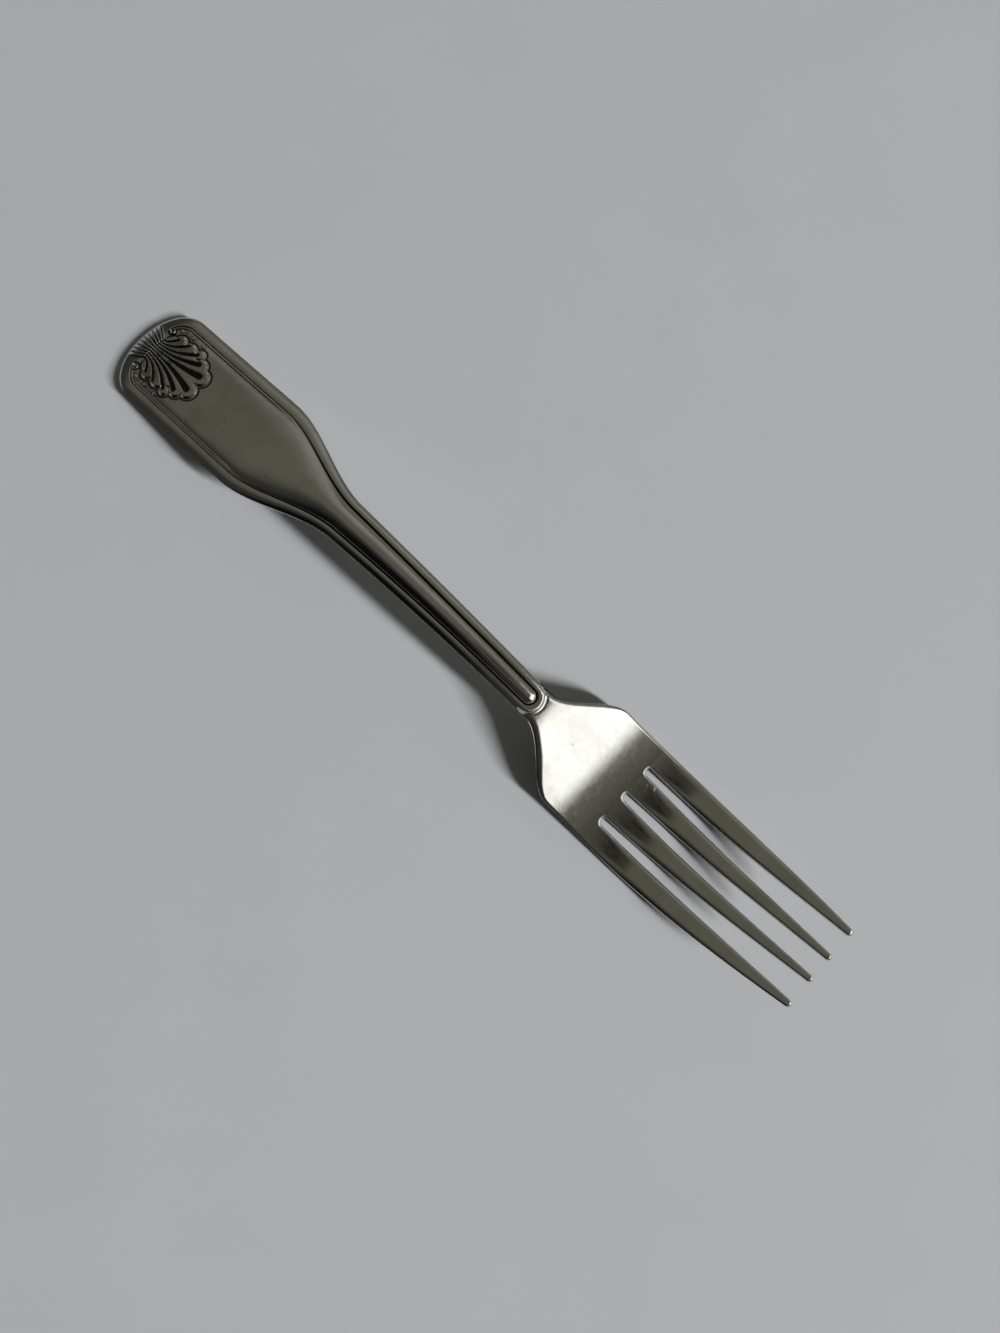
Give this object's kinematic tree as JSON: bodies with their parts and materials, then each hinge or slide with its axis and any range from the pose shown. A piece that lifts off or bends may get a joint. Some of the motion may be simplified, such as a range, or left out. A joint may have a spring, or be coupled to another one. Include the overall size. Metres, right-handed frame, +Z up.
{
  "type": "dinner fork",
  "caption": "Stamped steel dinner fork with a fiddle-shaped handle, a double thread border, a scallop shell at the handle's end and tapered, upswept tines",
  "frame": {"origin": "on the table, under the middle of the fork's length and width", "axes": "+X from the handle's end to the tine tips, +Y to the fork's left, +Z up out of the fork's face"},
  "size_m": [0.1902, 0.026, 0.017],
  "materials": {
    "stainless_steel": "tumble-polished stainless steel with fine wear scratches"
  },
  "bodies": {
    "root": {"handle_plate": "stainless_steel", "shell_motif": "stainless_steel", "left_scroll": "stainless_steel", "right_scroll": "stainless_steel", "stem": "stainless_steel", "neck": "stainless_steel", "palm": "stainless_steel", "outer_left_tine": "stainless_steel", "inner_left_tine": "stainless_steel", "inner_right_tine": "stainless_steel", "outer_right_tine": "stainless_steel"}
  },
  "joints": []
}
